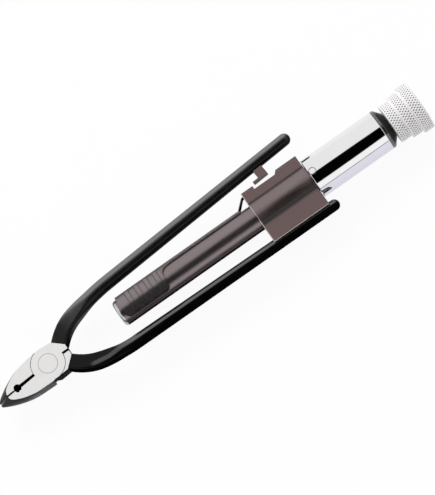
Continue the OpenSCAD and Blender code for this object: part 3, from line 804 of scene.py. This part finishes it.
# Bracket: one folded sheet round the guide tube, with the opening for the hook cut in its top
def bracket():
    top, low = BRACKET[1].y - AXIS_Y, BRACKET[0].y - AXIS_Y
    steps = 24

    def side(half_width, r, y_top):
        """One side of the sheet as (z, y) points, from its top over the round to its lower edge."""
        turn = math.asin(half_width / r)
        angles = [turn + (math.pi - 2 * turn) * k / steps for k in range(steps + 1)]
        arc = [(r * math.sin(a), r * math.cos(a)) for a in angles]
        upper = [y_top, arc[0][1] + 2 * CREASE, arc[0][1] + CREASE]
        lower = [arc[-1][1] - CREASE, arc[-1][1] - 2 * CREASE, low]
        return [(half_width, y) for y in upper] + arc[1:-1] + [(half_width, y) for y in lower]

    def mirrored(points):
        return [(-z, y) for z, y in points]

    outer = side(BRACKET_HALF, BULGE_R, top)
    inner = side(BRACKET_HALF - SHEET_T, TUBE_R + TUBE_GAP, top - TOP_T)
    corner = fillet([outer[1], outer[0]] + mirrored([outer[0], outer[1]]), TOP_ROUND, 5, False)
    over = [tuple(p) for p in corner[1:-1]]
    loop = mirrored(outer[:0:-1]) + over[::-1] + outer[1:] + inner[::-1] + mirrored(inner)
    rings = [[Vector((end.x, AXIS_Y + y, AXIS_Z + z)) for z, y in loop] for end in BRACKET]
    obj = make("bracket_sheet", *bridge(rings), angle=28)
    x0, x1 = OPENING_X
    rim = BRACKET[1].y
    above = rim + PAST
    outline = [(x0, rim - OPENING_DEPTH), (x1, rim - OPENING_DEPTH), (x1 + OPENING_SLOPE, rim),
               (x1 + OPENING_SLOPE, above), (x0, above)]
    carve(obj, prism("opening", outline, AXIS_Z - BULGE_R - PAST, AXIS_Z + BULGE_R + PAST))
    bevelled(obj, SHEET_EDGE, 50)
    flat_faces(smooth(obj, 28))
    return finish_piece(obj, "frame", "burnished_sheet", BROWN, "bracket")


bracket()


# Lock slide: a sheet wrapped on the guide tube, drawn as an outline of angle along the tool
def lock_slide():
    pad_end = PAD_X + PAD_LEN
    sweep_end = pad_end + SWEEP
    columns = [PAD_X + PAD_LEN * k / 170 for k in range(171)]
    columns += [pad_end + SWEEP * k / 24 for k in range(1, 25)]
    columns += [sweep_end + (STRIP_END - sweep_end) * k / 12 for k in range(1, 13)]
    rows, inner_rows = 96, 24

    def lower_edge(x):
        if x <= pad_end:
            inset = min(1.0, (x - PAD_X) / PAD_CORNER, (pad_end - x) / PAD_CORNER)
            return PAD_LOW + PAD_CORNER * (1 - quarter(inset)) / SLIDE_OUT
        return SWEEP_LOW + (STRIP_LOW - SWEEP_LOW) * quarter(min(1.0, (x - pad_end) / SWEEP))

    def rib(x, a):
        height = 0.0
        for i in range(RIBS):
            centre = PAD_X + RIB_START + i * RIB_PITCH + RIB_W / 2
            end = max(0.0, RIB_LOW - a, a - RIB_HIGH) * SLIDE_OUT
            off = math.hypot(x - centre, end)
            height = max(height, RIB_H * ease((RIB_W / 2 - off) / RIB_FLANK + 0.5))
        return height

    rings, flanks = [], []
    for x in columns:
        a0 = lower_edge(x)
        a1 = PAD_HIGH if x <= pad_end else STRIP_HIGH
        edge = SLIDE_EDGE / SLIDE_OUT
        angles = [a0 + edge] + [a0 + (a1 - a0) * k / rows for k in range(1, rows)] + [a1 - edge]
        heights = [rib(x, a) for a in angles]
        outside = [around(x, SLIDE_OUT - SLIDE_EDGE, a0)]
        outside += [around(x, SLIDE_OUT + height, a) for height, a in zip(heights, angles)]
        outside += [around(x, SLIDE_OUT - SLIDE_EDGE, a1)]
        inside = [around(x, SLIDE_IN, a1 + (a0 - a1) * k / inner_rows) for k in range(inner_rows + 1)]
        rings.append(outside + inside)
        flanks += [0.0]
        flanks += [1 - abs(2 * height / RIB_H - 1) for height in heights]
        flanks += [0.0] * (1 + len(inside))
    obj = make("lock_slide_sheet", *bridge(rings), angle=32)
    store(obj, "flank", flanks)
    return finish_piece(obj, "lock", "burnished_sheet", PAD, "lock_slide")


def lock_tongue():
    low = TONGUE_TOP - TONGUE_T
    start = SLIDE_IN + SLIDE_EDGE
    end = SLIDE_OUT - 2 * SLIDE_EDGE
    root = STRIP_END - TONGUE_ROOT
    bend = STRIP_END + low - start
    under = [(root, start), (STRIP_END, start), (bend, low), (TONGUE_TIP, low)]
    over = [(TONGUE_TIP, TONGUE_TOP), (bend - TONGUE_T / 2, TONGUE_TOP)]
    over += [(STRIP_END - TONGUE_T, end), (root, end)]
    points = fillet([(x, AXIS_Y + y) for x, y in under + over], TONGUE_ROUND)
    obj = prism("lock_tongue", points, AXIS_Z - TONGUE_W / 2, AXIS_Z + TONGUE_W / 2)
    bevelled(obj, TONGUE_EDGE, 50)
    smooth(obj, 30)
    return finish_piece(obj, "lock", "burnished_sheet", FIXED_BLACK)


lock_slide()
lock_tongue()


# Small parts that keep the CAD shape and get broken edges
def eased(name, node, body, slot, mat, width):
    obj = joined(copied(name, node))
    bevelled(obj, width, 40)
    flat_faces(smooth(obj, 30))
    return finish_piece(obj, body, slot, mat, node)


eased("hook_plate", "latch_hook", "handle", "burnished_sheet", BROWN, HOOK_EDGE)
eased("rivet_flush", "pivot_rivet", "frame", "bright_steel", HEAD, RIVET_EDGE)


# Barrel: a turned sleeve with three slots and the hole of the flush pin
def wall_cutter(name, outline, angle):
    """A prism through the barrel's wall; its outline gives places across and along from the front edge."""
    across = Vector((0, math.cos(angle), -math.sin(angle)))
    inside, outside = BARREL_R / 2, BARREL_R + PAST
    rings = [[around(BARREL[0] + x, r, angle) + across * w for w, x in outline] for r in (inside, outside)]
    return make(name, *bridge(rings))


def barrel():
    x0, x1 = BARREL
    inner_r = BARREL_R - BARREL_WALL
    profile = fillet([(x0, inner_r), (x0, BARREL_R), (x1, BARREL_R), (x1, inner_r)], BARREL_ROUND)
    obj = lathe("barrel_sleeve", profile, 256, 30)
    half_turn = [-math.pi / 2 + math.pi * k / 12 for k in range(13)]
    end = SLOT_LEN - SLOT_HALF
    slot = [(SLOT_HALF * math.sin(t), end + SLOT_HALF * math.cos(t)) for t in half_turn]
    slot = [(-SLOT_HALF, -PAST)] + slot + [(SLOT_HALF, -PAST)]
    cutters = [wall_cutter("slot_%d" % side, slot, math.radians(side)) for side in SLOT_SIDES]
    whole_turn = [2 * math.pi * k / 32 for k in range(32)]
    hole = [(PIN_HOLE_R * math.sin(t), PIN_X + PIN_HOLE_R * math.cos(t)) for t in whole_turn]
    cutters.append(wall_cutter("pin_hole", hole, 0.0))
    carve(obj, *cutters)
    smooth(obj, 30)
    return finish_piece(obj, "frame", "chrome", CHROME, "barrel")


barrel()


# Collar: black cone with a rounded edge
def collar():
    x = BARREL[1]
    profile = [(x - SPIGOT, COLLAR_BORE), (x - SPIGOT, SPIGOT_R), (x, SPIGOT_R), (x, BARREL_R),
               (x + COLLAR_RIM, BARREL_R), (COLLAR_END, COLLAR_END_R), (COLLAR_END, COLLAR_BORE)]
    obj = lathe("collar_cone", fillet(profile, COLLAR_ROUND, 5), 192)
    return finish_piece(obj, "frame", "black_collar", COLLAR, "end_collar")


collar()


# Knob: three turned bands with a diamond knurl, each band with its own count of grooves
def groove(s):
    """1 at the bottom of a groove, falling to 0 before the middle between two grooves."""
    return max(0.0, 1 - GROOVE_SLOPE * abs(s - round(s)))


def knob():
    verts, faces, pits = [], [], []
    x0, x1 = KNOB
    band_len = (x1 - x0) / len(BAND_R)
    last = len(BAND_R) - 1

    def add(profile, segments):
        """Turns (x, radius, knurled) points, with pits where two grooves cross."""
        rings = []
        for s in range(segments):
            ring = []
            for x, r, cut in profile:
                turn, along = s / PER_KNURL, (x - x0) / KNURL_ALONG
                depth = cut * (groove(turn + along) + groove(turn - along)) / 2
                ring.append(around(x, r - KNURL_DEPTH * depth, 2 * math.pi * s / segments))
                pits.append(depth)
            rings.append(ring)
        points, quads = bridge(rings, closed_rings=True)
        faces.extend(tuple(i + len(verts) for i in quad) for quad in quads)
        verts.extend(points)

    core = [(x0, KNOB_BORE), (x0, KNOB_FRONT_R), (x0 + SHOULDER, SHOULDER_R)]
    for i, r in enumerate(BAND_R):
        start = x0 + i * band_len
        end = start + band_len - (CORE_CHAMFER if i == last else 0)
        core += [(start + SHOULDER, r - CORE_DEPTH), (end, r - CORE_DEPTH)]
    core += [(x1, KNOB_R - CHAMFER_DEPTH), (x1, SCREW_R)]
    core += [(x1 - SCREW_DEPTH, SCREW_R), (x1 - SCREW_DEPTH, KNOB_BORE)]
    add([(x, r, 0) for x, r in core], 180)
    for i, r in enumerate(BAND_R):
        low = x0 + i * band_len + BAND_START
        high = x0 + (i + 1) * band_len - (END_GAP if i == last else BAND_GAP)
        length = high - low - 2 * BAND_EDGE
        count = int(length / (KNURL_ALONG / ROWS_PER_KNURL))
        edge = [(BAND_TUCK, r - BAND_ROOT), (0.0, r - BAND_EDGE), (BAND_EDGE / 2, r - BAND_EDGE / 4)]
        band = [(low + x, y, 0) for x, y in edge]
        band += [(low + BAND_EDGE + length * k / count, r, 1) for k in range(count + 1)]
        band += [(high - x, y, 0) for x, y in reversed(edge)]
        add(band, PER_KNURL * round(2 * math.pi * r / KNURL_AROUND))
    obj = make("knob_knurled", verts, faces, angle=40)
    store(obj, "pit", pits)
    return finish_piece(obj, "rod", "knurled_knob", KNURL, "pull_knob")


knob()

# CAD nodes that keep their own shape
KEPT = {
    "guide_tube": TUBE, "tube_plug": STEEL, "front_bush": HARD, "barrel_pin": CHROME,
    "clutch_ring": HARD, "clutch_rollers": HARD, "roller_springs": HARD,
    "retaining_ring": HARD, "tail_clip": HARD,
    "spiral_nut": BRONZE, "thrust_washers": BRONZE, "rod_bush": BRONZE, "tail_bush": BRONZE,
    "twist_rod": STEEL, "knob_screw": STEEL,
}
for node, mat in KEPT.items():
    mesh = nodes[node].data
    mesh.materials.clear()
    mesh.materials.append(mat)


# Stage: a pale floor that keeps its shadow, and a studio with a dark opening round the camera
FLOOR_HALF, FLOOR_GAP = 6.0, 0.3 * MM
SEEN_SHARE, GLOSSY_SHARE = 0.93, 0.86
# Painted reflection: the floor's glow seen in reflections is lavender where Y is below zero, on the fixed
# handle's side, and white from TINT_END
NEAR_TINT = (0.84, 0.82, 0.92)
TINT_END = 20 * MM
DARK_TILT = ROLL + math.radians(6)


def floor():
    z = cad_box[0].z - FLOOR_GAP
    corners = [(-1, -1), (1, -1), (1, 1), (-1, 1)]
    obj = make("floor", [(x * FLOOR_HALF, y * FLOOR_HALF, z) for x, y in corners], [(0, 1, 2, 3)])
    m = Maker("pale_floor", (0.86, 0.86, 0.87), 0.0, 0.9)
    m.set("Base Color", m.ramp(m.noise(30), [(0.3, (0.85, 0.85, 0.86)), (0.7, (0.88, 0.88, 0.89))]))
    path = m.node("ShaderNodeLightPath")
    seen = m.math("MAXIMUM", path.outputs["Is Camera Ray"], path.outputs["Is Transmission Ray"])
    glossy = path.outputs["Is Glossy Ray"]
    tint = m.mix(m.remap(m.place("Y"), 0.0, 1.0, 0.0, TINT_END), NEAR_TINT, grey(1.0))
    glow = m.node("ShaderNodeEmission")
    m.wire(m.mix(glossy, grey(1.0), tint), glow.inputs["Color"])
    direct = m.math("MULTIPLY", seen, SEEN_SHARE)
    mirrored = m.math("MULTIPLY", glossy, GLOSSY_SHARE)
    blend = m.node("ShaderNodeMixShader")
    m.wire(m.math("MAXIMUM", direct, mirrored), blend.inputs["Fac"])
    m.wire(m.shader.outputs["BSDF"], blend.inputs[1])
    m.wire(glow.outputs["Emission"], blend.inputs[2])
    m.wire(blend.outputs["Shader"], m.tree.nodes["Material Output"].inputs["Surface"])
    obj.data.materials.append(m.mat)


def studio():
    """Light grey all round, whiter low on the fixed handle's side, where a dark line marks the horizon.

    A dark opening lies round the camera.
    """
    world = bpy.data.worlds.new("studio")
    bpy.context.scene.world = world
    world.use_nodes = True
    n = Nodes(world.node_tree)
    place = n.node("ShaderNodeTexCoord")

    def shade(direction, *stops):
        """Greys by how far a ray goes along a direction."""
        along = n.node("ShaderNodeVectorMath", operation="DOT_PRODUCT")
        along.inputs[1].default_value = direction
        n.wire(place.outputs["Generated"], along.inputs[0])
        return n.ramp(along.outputs["Value"], [(at, grey(level)) for at, level in stops])

    opening = shade((0, -math.sin(DARK_TILT), math.cos(DARK_TILT)), (0.86, 1), (0.89, 0.001))
    side = shade((0, -1, 0), (0.55, 0.94), (0.85, 1.05))
    horizon = shade((0, 0, 1), (0.045, 0.08), (0.06, 1))
    far_side = shade((0, 1, 0), (0.2, 0), (0.5, 1))
    line = n.mix(1, horizon, far_side, "LIGHTEN")
    light = n.mix(1, n.mix(1, opening, side, "MULTIPLY"), line, "MULTIPLY")
    background = n.tree.nodes["Background"]
    n.wire(light, background.inputs["Color"])
    background.inputs["Strength"].default_value = 1.0


def lamp(name, place, size, power):
    """A round lamp that looks at the tool and isn't mirrored in it."""
    data = bpy.data.lights.new(name, "AREA")
    data.shape = "DISK"
    data.size = size
    data.energy = power
    obj = link(bpy.data.objects.new(name, data))
    obj.location = place
    obj.rotation_mode = "QUATERNION"
    obj.rotation_quaternion = (Vector(place) - TARGET).to_track_quat("Z", "Y")
    obj.visible_glossy = False


def camera_axes():
    back = Vector((0, -math.sin(ROLL), math.cos(ROLL)))
    across = Vector((0, math.cos(ROLL), math.sin(ROLL)))
    right = math.cos(TURN) * Vector((1, 0, 0)) - math.sin(TURN) * across
    up = math.sin(TURN) * Vector((1, 0, 0)) + math.cos(TURN) * across
    return right, up, back


def camera():
    right, up, back = camera_axes()
    data = bpy.data.cameras.new("photo_camera")
    data.sensor_width = SENSOR
    data.lens = SENSOR * DISTANCE / PHOTO_HEIGHT
    data.clip_end = 50
    obj = link(bpy.data.objects.new("photo_camera", data))
    turn = [[right[i], up[i], back[i]] for i in range(3)]
    place = TARGET + back * DISTANCE
    obj.matrix_world = Matrix(((*turn[0], place.x), (*turn[1], place.y), (*turn[2], place.z), (0, 0, 0, 1)))
    bpy.context.scene.camera = obj


floor()
studio()
lamp("top_lamp", place=(0.1, 0.9, 1.0), size=0.6, power=8)
camera()
bpy.context.scene.view_settings.view_transform = "Standard"
